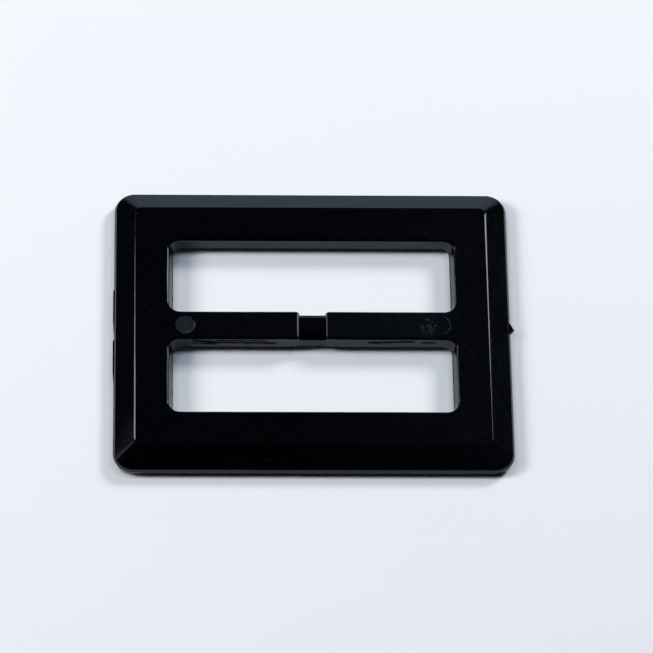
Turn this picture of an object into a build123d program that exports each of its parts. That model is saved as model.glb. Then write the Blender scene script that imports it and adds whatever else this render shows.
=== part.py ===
from build123d import *
from math import radians, tan
import os

# Two-slot slider for a 40 mm belt: one injection moulding in black plastic.
# X runs along the centre bar, Y across it, and +Z points out of the face.
# The origin is at the middle of the flat back, midway between the two slots.
# Units are millimetres.

# Outline, measured at the parting line of the mould
outer_length = 57.8
outer_height = 46.6
outer_corner_radius = 3.0
thickness = 3.35
parting_height = 1.25

# Side wall: a long draft below the parting line, a short shoulder above it
side_draft_angle = 13.0
shoulder_height = 0.45
shoulder_inset = 0.25
shoulder_edge_radius = 0.12

# Bevel between the shoulder and the flat face
end_bevel_width = 3.0
long_bevel_width = 3.3
face_corner_radius = 1.0
face_edge_radius = 1.1

# Slots: narrowest at the parting line, wider at both faces
clear_length = 40.6
clear_height = 11.63
slot_corner_radius = 1.4
end_wall_inset = 0.62
front_wall_inset = 0.19
back_wall_inset = 0.55
slot_edge_radius = 0.48

# Centre bar, with a necked seat where a prong can be looped on
bar_width = 4.62
seat_length = 3.8
seat_width = 4.5
seat_flank_width = 4.24
seat_flank_height = 2.25
seat_top = 3.2
seat_bottom = 0.4

# Round marks left by the two ejector pins, one a shallow pad, one only a ring
ejector_diameter = 3.0
ejector_offset = 18.5
ejector_depth = 0.04
ring_width = 0.12

# Torn-off stub of the gate on the right-hand edge: a low wedge with a sharp tip
gate_top = 1.3
gate_bottom = -0.3
gate_reach = 0.38
gate_thickness = 0.6
tip_top = 0.55
tip_bottom = 0.05
tip_reach = 0.68
tip_thickness = 0.3

# Thin flash along the left-hand edge: upper and lower end of each run
flash_runs = [(7.0, -0.6), (-1.4, -9.0)]
flash_reach = 0.13
flash_thickness = 0.12
flash_lead_in = 0.3
flash_full_share = 0.7

# Worked out from the values above
shoulder_level = parting_height + shoulder_height
base_inset = parting_height * tan(radians(side_draft_angle))
mouth_length = clear_length + 2 * end_wall_inset
slot_centre = (bar_width + clear_height) / 2 + front_wall_inset
edge_x = outer_length / 2
edge_root = edge_x - 1.0

os.makedirs("parts", exist_ok=True)


def outline(end_inset, long_inset, corner_radius):
    """Rounded rectangle lying inside the parting line by the two insets."""
    RectangleRounded(outer_length - 2 * end_inset, outer_height - 2 * long_inset, corner_radius)


with BuildPart() as slider_frame:
    # Back half, narrowing towards the back face
    with BuildSketch(Plane.XY.offset(parting_height)):
        outline(0, 0, outer_corner_radius)
    with BuildSketch(Plane.XY):
        outline(base_inset, base_inset, outer_corner_radius - base_inset)
    loft(ruled=True)

    # Short shoulder above the parting line
    with BuildSketch(Plane.XY.offset(parting_height)):
        outline(0, 0, outer_corner_radius)
    with BuildSketch(Plane.XY.offset(shoulder_level)):
        outline(shoulder_inset, shoulder_inset, outer_corner_radius - shoulder_inset)
    loft(ruled=True)

    # Bevel up to the flat face
    with BuildSketch(Plane.XY.offset(shoulder_level)):
        outline(shoulder_inset, shoulder_inset, outer_corner_radius - shoulder_inset)
    with BuildSketch(Plane.XY.offset(thickness)):
        outline(
            shoulder_inset + end_bevel_width,
            shoulder_inset + long_bevel_width,
            face_corner_radius,
        )
    loft(ruled=True)

    face_rim = slider_frame.edges().group_by(Axis.Z)[-1]
    fillet(face_rim, radius=face_edge_radius)
    shoulder_rim = slider_frame.edges().filter_by_position(
        Axis.Z, shoulder_level - 0.01, shoulder_level + 0.01
    )
    fillet(shoulder_rim, radius=shoulder_edge_radius)

    # Two slots, waisted at the parting line
    for side in (1, -1):
        for level, wall_inset in ((thickness, front_wall_inset), (0, back_wall_inset)):
            with BuildSketch(Plane.XY.offset(parting_height)):
                with Locations((0, side * slot_centre)):
                    RectangleRounded(clear_length, clear_height, slot_corner_radius)
            with BuildSketch(Plane.XY.offset(level)):
                with Locations((0, side * slot_centre)):
                    RectangleRounded(
                        mouth_length,
                        clear_height + 2 * wall_inset,
                        slot_corner_radius + wall_inset,
                    )
            loft(ruled=True, mode=Mode.SUBTRACT)

    # Gap in the bar where the prong seat goes
    with BuildSketch(Plane.XY):
        Rectangle(seat_length, 2 * slot_centre)
    extrude(amount=thickness, mode=Mode.SUBTRACT)

    # Soft edges down the corners of the gap, then round the mouths of slots and gap
    gap_walls = slider_frame.faces().filter_by(Axis.X).sort_by_distance((0, 0, 0))[:2]
    gap_corners = gap_walls.edges().filter_by(lambda edge: edge.bounding_box().size.Z > 1)
    fillet(gap_corners, radius=slot_edge_radius)
    front_face = slider_frame.faces().sort_by(Axis.Z)[-1]
    fillet(front_face.inner_wires().edges(), radius=slot_edge_radius)

    # The seat itself, a neck with steep flanks and a domed top and underside
    with BuildSketch(Plane.YZ):
        with BuildLine():
            Line(
                (seat_width / 2, parting_height), (seat_flank_width / 2, seat_flank_height)
            )
            EllipticalCenterArc(
                (0, seat_flank_height),
                seat_flank_width / 2,
                seat_top - seat_flank_height,
                start_angle=0,
                arc_size=180,
            )
            Line((-seat_flank_width / 2, seat_flank_height), (-seat_width / 2, parting_height))
            EllipticalCenterArc(
                (0, parting_height),
                seat_width / 2,
                parting_height - seat_bottom,
                start_angle=180,
                arc_size=180,
            )
        make_face()
    extrude(amount=seat_length / 2 + slot_edge_radius, both=True)

    # Ejector pin marks near the ends of the bar
    with BuildSketch(Plane.XY.offset(thickness)):
        with Locations((-ejector_offset, 0)):
            Circle(ejector_diameter / 2)
        with Locations((ejector_offset, 0)):
            Circle(ejector_diameter / 2 + ring_width)
            Circle(ejector_diameter / 2, mode=Mode.SUBTRACT)
    extrude(amount=-ejector_depth, mode=Mode.SUBTRACT)

    # Gate stub: a wedge where the sprue was twisted off, and the tip it left behind
    with BuildSketch(Plane.XY.offset(parting_height - gate_thickness / 2)):
        Polygon(
            (edge_root, gate_top),
            (edge_x, gate_top),
            (edge_x + gate_reach, tip_top),
            (edge_x + gate_reach, tip_bottom),
            (edge_x, gate_bottom),
            (edge_root, gate_bottom),
            align=None,
        )
    extrude(amount=gate_thickness)
    with BuildSketch(Plane.XY.offset(parting_height - gate_thickness / 2)):
        Polygon(
            (edge_root, tip_top),
            (edge_x + tip_reach, tip_top),
            (edge_x + gate_reach, tip_bottom),
            (edge_root, tip_bottom),
            align=None,
        )
    extrude(amount=tip_thickness)

    # Flash: each run starts abruptly and fades out towards its lower end
    for top, bottom in flash_runs:
        full_end = top + flash_full_share * (bottom - top)
        with BuildSketch(Plane.XY.offset(parting_height - flash_thickness / 2)):
            with BuildLine():
                Polyline(
                    (-edge_root, top),
                    (-edge_x, top),
                    (-edge_x - flash_reach, top - flash_lead_in),
                    (-edge_x - flash_reach, full_end),
                    (-edge_x, bottom),
                    (-edge_root, bottom),
                    close=True,
                )
            make_face()
        extrude(amount=flash_thickness)

slider_frame.part.label = "slider_frame"
export_step(slider_frame.part, "parts/slider_frame.step")
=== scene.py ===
import math

import bpy
from mathutils import Matrix, Vector

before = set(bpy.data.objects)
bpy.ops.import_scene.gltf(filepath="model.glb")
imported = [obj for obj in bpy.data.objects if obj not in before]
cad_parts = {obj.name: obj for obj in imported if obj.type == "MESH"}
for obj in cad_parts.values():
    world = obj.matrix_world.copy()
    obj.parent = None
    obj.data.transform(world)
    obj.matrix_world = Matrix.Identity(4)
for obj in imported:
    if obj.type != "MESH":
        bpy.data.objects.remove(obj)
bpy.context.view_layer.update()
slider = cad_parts["slider_frame"]
MM = 0.001

# Camera: how far it leans from straight overhead, how far it is turned and rolled
VIEW_TILT = math.radians(29.98)
VIEW_TURN = math.radians(-4.05)
VIEW_ROLL = math.radians(3.70)
VIEW_DISTANCE = 0.7044
VIEW_TARGET = Vector((2.14, 1.63, 0.0)) * MM
LENS = 265.75
SENSOR = 36.0
CLIP_NEAR = 0.01
CLIP_FAR = 20.0

# Studio: panels and fills light matte surfaces and never show in reflections. Cards only show there.
FLOOR_REACH = 3.0
PANEL_DISTANCE = 0.70
FILL_DISTANCE = 1.0
FILL_SIZE = 0.30
CARD_DISTANCE = 0.35
WHITE = (1.0, 1.0, 1.0)
COOL = (0.80, 0.95, 1.15)
ROOM_IN_FRONT = (0.002, 0.002, 0.003, 1)
ROOM_BEHIND = (0.016, 0.020, 0.032, 1)
LOW_GLOW = (0.46, 0.58, 0.74, 1)

# Paper: painted shade makes it darker towards the front right, in mm
PAPER_FRONT_SHADED = (0.798, 0.800, 0.807, 1)
PAPER_BACK_LIT = (0.835, 0.825, 0.818, 1)
PAPER_FADE_FROM = -110.0
PAPER_FADE_TO = 80.0
PAPER_SLANT = 0.3
PAPER_UNEVENNESS = 16.0

# Surface marks, in mm on the slider
PIN_RADIUS = 1.5
PAD_X = -18.5
RING_X = 18.5
RUB_CENTRE = (17.0, -0.2, 0.0)
FACE_Z = 3.2
PARTING_Z = 1.35
BASE_ROUGHNESS = 0.05

# Where masks fade in and out again, as four edges in mm
BAR_WALL_Y = (-2.9, -2.75, -2.1, -2.0)
SLOT_END_X = (20.15, 20.25, 21.0, 21.1)
SLOT_SPAN_Y = (2.9, 3.3, 13.2, 13.6)

# Flow lines on the bar's front wall: each start and end as (x, z), and its reach to either side
FLOW_LINES = [
    ((-17.3, 2.80), (-16.3, 2.65), 0.15),
    ((-16.3, 2.65), (-14.0, 2.30), 0.20),
    ((-14.0, 2.30), (-5.5, 2.15), 0.14),
    ((-16.4, 2.75), (-14.2, 1.85), 0.13),
    ((-17.3, 2.15), (-14.2, 1.85), 0.11),
    ((-14.0, 2.75), (-7.0, 2.70), 0.09),
    ((8.3, 2.30), (14.6, 2.60), 0.15),
    ((15.9, 2.35), (17.8, 2.30), 0.12),
]

# Plastic colours
BLACK = (0.0002, 0.0002, 0.0004, 1)
CLOUDED_BLACK = (0.0004, 0.0005, 0.0009, 1)
HAZE = (0.0028, 0.0036, 0.0050, 1)
STREAK = (0.0034, 0.0042, 0.0058, 1)
WORN_LEFT = (0.0016, 0.0022, 0.0032, 1)
WORN_RIGHT = (0.0034, 0.0044, 0.0060, 1)
SPECK = (0.030, 0.034, 0.040, 1)
PAD_DARK = (0.0025, 0.0040, 0.0052, 1)
PAD_LIGHT = (0.0125, 0.0165, 0.0200, 1)
# Painted highlight on the front right of the ejector pad's rim
PAD_RIM_HIGHLIGHT = (0.050, 0.058, 0.066, 1)
# Rubbed patch, and the painted highlight on the right side of the ejector ring
SCUFF_AND_RING_HIGHLIGHT = (0.022, 0.026, 0.032, 1)
# Flow lines, and painted shade along the parting-line crease
FLOW_LINE_AND_CREASE_SHADE = (0.002, 0.002, 0.003, 1)
COOL_GLOSS = (0.84, 0.93, 1.0, 1)


def add_camera():
    """The camera stands in front of the slider, looking down at it, a little to the left."""
    away = Vector((
        math.sin(VIEW_TILT) * math.sin(VIEW_TURN),
        -math.sin(VIEW_TILT) * math.cos(VIEW_TURN),
        math.cos(VIEW_TILT),
    ))
    right = (-away).cross(Vector((0, 0, 1))).normalized()
    up = right.cross(-away)
    rolled_right = right * math.cos(VIEW_ROLL) + up * math.sin(VIEW_ROLL)
    rolled_up = up * math.cos(VIEW_ROLL) - right * math.sin(VIEW_ROLL)
    data = bpy.data.cameras.new("camera")
    data.lens = LENS
    data.sensor_width = SENSOR
    data.clip_start = CLIP_NEAR
    data.clip_end = CLIP_FAR
    camera = bpy.data.objects.new("camera", data)
    bpy.context.scene.collection.objects.link(camera)
    turn = Matrix((rolled_right, rolled_up, away)).transposed().to_4x4()
    camera.matrix_world = Matrix.Translation(VIEW_TARGET + away * VIEW_DISTANCE) @ turn
    bpy.context.scene.camera = camera


def bearing(azimuth, elevation):
    """Unit vector for a compass-like bearing: 0 is behind the slider (+Y), 90 is to its right (+X)."""
    turn, lift = math.radians(azimuth), math.radians(elevation)
    return Vector((
        math.sin(turn) * math.cos(lift),
        math.cos(turn) * math.cos(lift),
        math.sin(lift),
    ))


def add_light(name, azimuth, elevation, distance, width, height, radiance, colour=WHITE):
    """A rectangular light that faces the slider."""
    data = bpy.data.lights.new(name, "AREA")
    data.shape = "RECTANGLE"
    data.size = width
    data.size_y = height
    data.color = colour
    data.energy = radiance * width * height * math.pi
    light = bpy.data.objects.new(name, data)
    bpy.context.scene.collection.objects.link(light)
    away = bearing(azimuth, elevation)
    up = Vector((0, 0, 1)) - away * away.z
    up.normalize()
    across = up.cross(away)
    turn = Matrix((across, up, away)).transposed().to_4x4()
    light.matrix_world = Matrix.Translation(away * distance) @ turn
    light.visible_camera = False
    return light


def add_panel(name, azimuth, elevation, width, height, radiance):
    """One of the two main lights."""
    panel = add_light(name, azimuth, elevation, PANEL_DISTANCE, width, height, radiance)
    panel.visible_glossy = False


def add_fill(name, azimuth, elevation, radiance):
    """A dim, cool light that opens up the shadows."""
    fill = add_light(name, azimuth, elevation, FILL_DISTANCE, FILL_SIZE, FILL_SIZE, radiance, COOL)
    fill.visible_glossy = False


def add_card(name, azimuth, elevation, distance, width, height, radiance):
    """A reflector card, seen only in the plastic."""
    card = add_light(name, azimuth, elevation, distance, width, height, radiance)
    card.visible_diffuse = False


class Graph:
    """Short names for building a node tree. Values are numbers, vectors or sockets."""

    def __init__(self, tree):
        self.tree = tree

    def wire(self, value, socket):
        if isinstance(value, bpy.types.NodeSocket):
            self.tree.links.new(value, socket)
        else:
            socket.default_value = value

    def math(self, operation, first, second=0.0, clamp=False):
        node = self.tree.nodes.new("ShaderNodeMath")
        node.operation = operation
        node.use_clamp = clamp
        self.wire(first, node.inputs[0])
        self.wire(second, node.inputs[1])
        return node.outputs[0]

    def add(self, first, second):
        return self.math("ADD", first, second)

    def subtract(self, first, second):
        return self.math("SUBTRACT", first, second)

    def multiply(self, first, second):
        return self.math("MULTIPLY", first, second)

    def larger(self, first, second):
        return self.math("MAXIMUM", first, second)

    def size(self, value):
        return self.math("ABSOLUTE", value)

    def vector(self, operation, first, second=(0.0, 0.0, 0.0)):
        node = self.tree.nodes.new("ShaderNodeVectorMath")
        node.operation = operation
        self.wire(first, node.inputs[0])
        self.wire(second, node.inputs["Scale"] if operation == "SCALE" else node.inputs[1])
        return node.outputs["Value" if operation in ("DISTANCE", "DOT_PRODUCT") else "Vector"]

    def ease(self, value, low, high, to_low=0.0, to_high=1.0):
        """A smooth step from to_low to to_high as the value goes from low to high."""
        node = self.tree.nodes.new("ShaderNodeMapRange")
        node.interpolation_type = "SMOOTHSTEP"
        self.wire(value, node.inputs["Value"])
        node.inputs["From Min"].default_value = low
        node.inputs["From Max"].default_value = high
        node.inputs["To Min"].default_value = to_low
        node.inputs["To Max"].default_value = to_high
        return node.outputs["Result"]

    def fall(self, value, low, high):
        """A smooth step from 1 down to 0."""
        return self.ease(value, low, high, 1.0, 0.0)

    def band(self, value, edges):
        """1 between the middle two edges, falling to 0 at the outer two."""
        rise_from, rise_to, fall_from, fall_to = edges
        return self.multiply(self.ease(value, rise_from, rise_to), self.fall(value, fall_from, fall_to))

    def noise(self, point, scale, stretch=(1.0, 1.0, 1.0), detail=2.0, roughness=0.5):
        node = self.tree.nodes.new("ShaderNodeTexNoise")
        self.wire(self.vector("MULTIPLY", point, stretch), node.inputs["Vector"])
        node.inputs["Scale"].default_value = scale
        node.inputs["Detail"].default_value = detail
        node.inputs["Roughness"].default_value = roughness
        return node.outputs["Fac"]

    def wobble(self, noise, reach):
        """Noise that swings either side of zero, by up to half the reach."""
        return self.multiply(self.subtract(noise, 0.5), reach)

    def split(self, vector):
        node = self.tree.nodes.new("ShaderNodeSeparateXYZ")
        self.wire(vector, node.inputs[0])
        return node.outputs["X"], node.outputs["Y"], node.outputs["Z"]

    def join(self, x, y, z):
        node = self.tree.nodes.new("ShaderNodeCombineXYZ")
        for value, socket in zip((x, y, z), node.inputs):
            self.wire(value, socket)
        return node.outputs[0]

    def gap(self, first, second):
        return self.vector("DISTANCE", first, second)

    def blend(self, share, first, second):
        node = self.tree.nodes.new("ShaderNodeMix")
        node.data_type = "RGBA"
        self.wire(share, node.inputs["Factor"])
        first_colour, second_colour = [socket for socket in node.inputs if socket.type == "RGBA"]
        self.wire(first, first_colour)
        self.wire(second, second_colour)
        return next(socket for socket in node.outputs if socket.type == "RGBA")

    def bump(self, height, strength, distance, normal=None):
        node = self.tree.nodes.new("ShaderNodeBump")
        node.inputs["Strength"].default_value = strength
        node.inputs["Distance"].default_value = distance
        self.wire(height, node.inputs["Height"])
        if normal is not None:
            self.wire(normal, node.inputs["Normal"])
        return node.outputs["Normal"]


def new_material(name):
    """A material, its node graph, its shader, and the point being shaded in mm."""
    material = bpy.data.materials.new(name)
    material.use_nodes = True
    graph = Graph(material.node_tree)
    shader = material.node_tree.nodes["Principled BSDF"]
    coords = material.node_tree.nodes.new("ShaderNodeTexCoord").outputs["Object"]
    return material, graph, shader, graph.vector("SCALE", coords, 1.0 / MM)


def add_world():
    """A dim room: pale low down behind the slider, dark overhead and in front."""
    world = bpy.data.worlds.new("studio")
    world.use_nodes = True
    tree = world.node_tree
    tree.nodes.clear()
    graph = Graph(tree)
    out = tree.nodes.new("ShaderNodeOutputWorld")
    background = tree.nodes.new("ShaderNodeBackground")
    coords = tree.nodes.new("ShaderNodeTexCoord")
    _, toward_back, height = graph.split(coords.outputs["Generated"])
    low = graph.fall(height, 0.25, 0.31)
    behind = graph.ease(toward_back, -0.10, 0.30)
    room = graph.blend(behind, ROOM_IN_FRONT, ROOM_BEHIND)
    colour = graph.blend(graph.multiply(low, behind), room, LOW_GLOW)
    tree.links.new(colour, background.inputs["Color"])
    tree.links.new(background.outputs[0], out.inputs["Surface"])
    bpy.context.scene.world = world


def white_paper():
    """Pale matte paper with a fine tooth, with painted shade that makes it a little darker towards the
    front right.
    """
    material, graph, shader, point = new_material("white_paper")
    x, y, _ = graph.split(point)
    mottle = graph.multiply(graph.noise(point, 0.02, detail=3.0), PAPER_UNEVENNESS)
    toward_back = graph.add(graph.subtract(y, graph.multiply(x, PAPER_SLANT)), mottle)
    # Painted shade: the paper darkens towards the front right
    share = graph.ease(toward_back, PAPER_FADE_FROM, PAPER_FADE_TO)
    graph.wire(graph.blend(share, PAPER_FRONT_SHADED, PAPER_BACK_LIT), shader.inputs["Base Color"])
    shader.inputs["Roughness"].default_value = 0.9
    shader.inputs["Specular IOR Level"].default_value = 0.2
    fibres = graph.noise(point, 0.9, (0.5, 1.6, 1.0), detail=5.0, roughness=0.7)
    graph.wire(graph.bump(fibres, 0.35, 0.06 * MM), shader.inputs["Normal"])
    return material


def add_floor():
    """The sheet of paper the slider lies on."""
    reach = FLOOR_REACH
    mesh = bpy.data.meshes.new("floor")
    mesh.from_pydata(
        [(-reach, -reach, 0), (reach, -reach, 0), (reach, reach, 0), (-reach, reach, 0)],
        [],
        [(0, 1, 2, 3)],
    )
    floor = bpy.data.objects.new("floor", mesh)
    bpy.context.scene.collection.objects.link(floor)
    mesh.materials.append(white_paper())


def flow_lines(graph, point):
    """Thin dark flow lines on the bar's front wall, as a 0..1 mask."""
    x, y, z = graph.split(point)
    waver = graph.noise(point, 0.9, (1.0, 0.0, 1.0), detail=3.0)
    wall = graph.join(x, 0.0, graph.add(z, graph.wobble(waver, 0.55)))
    mask = 0.0
    for (start_x, start_z), (end_x, end_z), width in FLOW_LINES:
        start = Vector((start_x, 0.0, start_z))
        along = Vector((end_x, 0.0, end_z)) - start
        offset = graph.vector("SUBTRACT", wall, start)
        share = graph.vector("DOT_PRODUCT", offset, along / along.length_squared)
        share = graph.math("ADD", share, 0.0, clamp=True)
        gap = graph.gap(offset, graph.vector("SCALE", along, share))
        mask = graph.larger(mask, graph.fall(gap, width * 0.9, width * 2.2))
    return graph.multiply(mask, graph.band(y, BAR_WALL_Y))


def parting_crease_shade(graph, point):
    """Painted shade: the uneven dark line along the parting-line crease at the ends of both slots, as a
    0..1 mask.
    """
    x, y, z = graph.split(point)
    uneven = graph.wobble(graph.noise(point, 1.3, detail=3.0), 0.7)
    level = graph.size(graph.subtract(graph.add(z, uneven), PARTING_Z))
    line = graph.fall(level, 0.14, 0.34)
    across = graph.band(graph.size(x), SLOT_END_X)
    down = graph.band(graph.size(y), SLOT_SPAN_Y)
    return graph.multiply(line, graph.multiply(across, down))


def ejector_pad(graph, point, on_face):
    """The matte pad left by one ejector pin: its mask, its colour with a painted highlight on the front
    right of its rim, and its upright marks.
    """
    x, y, _ = graph.split(point)
    gap = graph.gap(graph.join(x, y, 0.0), (PAD_X, 0.0, 0.0))
    gap = graph.add(gap, graph.wobble(graph.noise(point, 2.4, detail=3.0), 0.5))
    pad = graph.multiply(graph.fall(gap, PIN_RADIUS - 0.08, PIN_RADIUS), on_face)
    marks = graph.noise(point, 3.2, (3.0, 0.35, 0.0), detail=3.0)
    # Painted highlight: the pad's rim is paler on its front right side
    near_edge = graph.ease(gap, PIN_RADIUS - 0.22, PIN_RADIUS - 0.1)
    front_right = graph.ease(graph.subtract(x, y), PAD_X + 0.4, PAD_X + 1.6)
    colour = graph.blend(graph.ease(marks, 0.40, 0.60), PAD_DARK, PAD_LIGHT)
    colour = graph.blend(graph.multiply(near_edge, front_right), colour, PAD_RIM_HIGHLIGHT)
    return pad, colour, marks


def ejector_ring(graph, point, on_face):
    """The ring left by the other pin, brighter on its right side as a painted highlight, and the rubbed
    patch beside it, as a 0..1 mask.
    """
    x, y, _ = graph.split(point)
    flat = graph.join(x, y, 0.0)
    off_ring = graph.size(graph.subtract(graph.gap(flat, (RING_X, 0.0, 0.0)), PIN_RADIUS + 0.05))
    # Painted highlight: the ring shows mostly on its right side
    right_side = graph.ease(x, RING_X + 0.3, RING_X + 1.3, 0.15, 1.0)
    ring = graph.multiply(graph.fall(off_ring, 0.03, 0.16), right_side)
    scratches = graph.noise(point, 2.8, (1.0, 0.5, 1.0), detail=4.0, roughness=0.65)
    patch = graph.fall(graph.gap(flat, RUB_CENTRE), 0.6, 2.1)
    rub = graph.multiply(patch, graph.ease(scratches, 0.49, 0.62))
    return graph.multiply(graph.larger(ring, rub), on_face)


def plastic_haze(graph, point, cloud):
    """Cloudy, grainy haze that grows towards the right."""
    x, _, _ = graph.split(point)
    haze = graph.multiply(graph.ease(x, -4.0, 26.0), graph.ease(cloud, 0.30, 0.62, 0.45, 1.0))
    grit = graph.noise(point, 1.6, detail=5.0, roughness=0.8)
    return graph.multiply(haze, graph.ease(grit, 0.38, 0.66, 0.2, 1.6))


def bar_wear(graph, point, streak_noise, on_face):
    """Wear on the front face of the bar: its mask and its colour, paler to the right."""
    x, y, _ = graph.split(point)
    on_bar = graph.multiply(graph.fall(graph.size(y), 2.0, 3.0), on_face)
    on_bar = graph.multiply(on_bar, graph.fall(graph.size(x), 15.0, 22.0))
    wear = graph.multiply(on_bar, graph.ease(streak_noise, 0.35, 0.65, 0.1, 1.0))
    return wear, graph.blend(graph.ease(x, -5.0, 12.0), WORN_LEFT, WORN_RIGHT)


def add_flow_lines_and_crease_shade(graph, shader, material, lines):
    """Dark shallow flow lines, and painted shade along the parting-line crease, which send almost nothing
    back, over the glossy shader.
    """
    nodes = material.node_tree.nodes
    dark_line_shader = nodes.new("ShaderNodeBsdfDiffuse")
    dark_line_shader.inputs["Color"].default_value = FLOW_LINE_AND_CREASE_SHADE
    mix = nodes.new("ShaderNodeMixShader")
    graph.wire(graph.multiply(lines, 0.9), mix.inputs[0])
    graph.wire(shader.outputs[0], mix.inputs[1])
    graph.wire(dark_line_shader.outputs[0], mix.inputs[2])
    graph.wire(mix.outputs[0], nodes["Material Output"].inputs["Surface"])


def black_plastic():
    """Glossy black moulded plastic, hazier to the right, with ejector marks, a scuffed patch and flow
    lines, painted highlights on the ejector marks' rims and painted shade along the parting-line crease.
    """
    material, graph, shader, point = new_material("black_plastic")
    _, _, z = graph.split(point)
    on_face = graph.ease(z, FACE_Z, FACE_Z + 0.06)
    pad, pad_colour, pad_marks = ejector_pad(graph, point, on_face)
    # Rubbed patch plus the painted highlight on the ejector ring's right side
    scuffs_and_ring_highlight = ejector_ring(graph, point, on_face)
    # Flow lines, plus painted shade along the parting-line crease
    lines = graph.larger(flow_lines(graph, point), parting_crease_shade(graph, point))
    streak_noise = graph.noise(point, 1.1, (1.1, 5.5, 2.0), detail=5.0, roughness=0.75)
    streaks = graph.ease(streak_noise, 0.50, 0.72)
    specks = graph.ease(graph.noise(point, 4.5, detail=2.0), 0.68, 0.75)
    cloud = graph.noise(point, 0.10, detail=3.0)
    haze = plastic_haze(graph, point, cloud)
    wear, wear_colour = bar_wear(graph, point, streak_noise, on_face)

    colour = graph.blend(graph.ease(cloud, 0.3, 0.7), BLACK, CLOUDED_BLACK)
    for share, layer in (
        (graph.multiply(haze, 0.45), HAZE),
        (graph.multiply(streaks, 0.8), STREAK),
        (wear, wear_colour),
        (graph.multiply(specks, 0.5), SPECK),
        (pad, pad_colour),
        (graph.multiply(scuffs_and_ring_highlight, 0.6), SCUFF_AND_RING_HIGHLIGHT),
    ):
        colour = graph.blend(share, colour, layer)
    graph.wire(colour, shader.inputs["Base Color"])

    rough = BASE_ROUGHNESS
    for mask, extra in ((haze, 0.03), (streaks, 0.05), (specks, 0.12), (graph.larger(pad, scuffs_and_ring_highlight), 0.42)):
        rough = graph.add(rough, graph.multiply(mask, extra))
    graph.wire(rough, shader.inputs["Roughness"])
    shader.inputs["Specular IOR Level"].default_value = 0.48
    shader.inputs["Specular Tint"].default_value = COOL_GLOSS
    shader.inputs["IOR"].default_value = 1.5

    normal = graph.bump(graph.noise(point, 0.16, detail=1.0), 0.15, 0.12 * MM)
    normal = graph.bump(graph.noise(point, 7.0, detail=3.0), 0.06, 0.012 * MM, normal)
    normal = graph.bump(graph.multiply(pad_marks, pad), 0.5, 0.02 * MM, normal)
    graph.wire(normal, shader.inputs["Normal"])
    add_flow_lines_and_crease_shade(graph, shader, material, lines)
    return material


add_camera()
add_world()
add_floor()
add_panel("left_panel", 271, 37, 0.177, 0.26, 22.8)
add_panel("right_panel", 49, 33, 0.167, 0.197, 30.5)
add_fill("left_fill", 295, 68, 6.1)
add_fill("right_fill", 60, 70, 6.1)
add_fill("front_fill", 180, 50, 0.4)
add_card("left_card", 285, 41, PANEL_DISTANCE, 0.12, 0.12, 0.5)
add_card("right_card", 47, 37, CARD_DISTANCE, 0.045, 0.09, 9.0)
add_card("low_right_card", 55, 13, CARD_DISTANCE, 0.06, 0.06, 5.0)
add_card("low_left_card", 299, 13, CARD_DISTANCE, 0.06, 0.06, 4.0)
add_card("rim_card", 303, 44, CARD_DISTANCE, 0.035, 0.10, 6.5)
add_card("bevel_card", 294.5, 31, CARD_DISTANCE, 0.035, 0.05, 0.16)

slider.data.materials.clear()
slider.data.materials.append(black_plastic())

bpy.context.scene.view_settings.view_transform = "Standard"
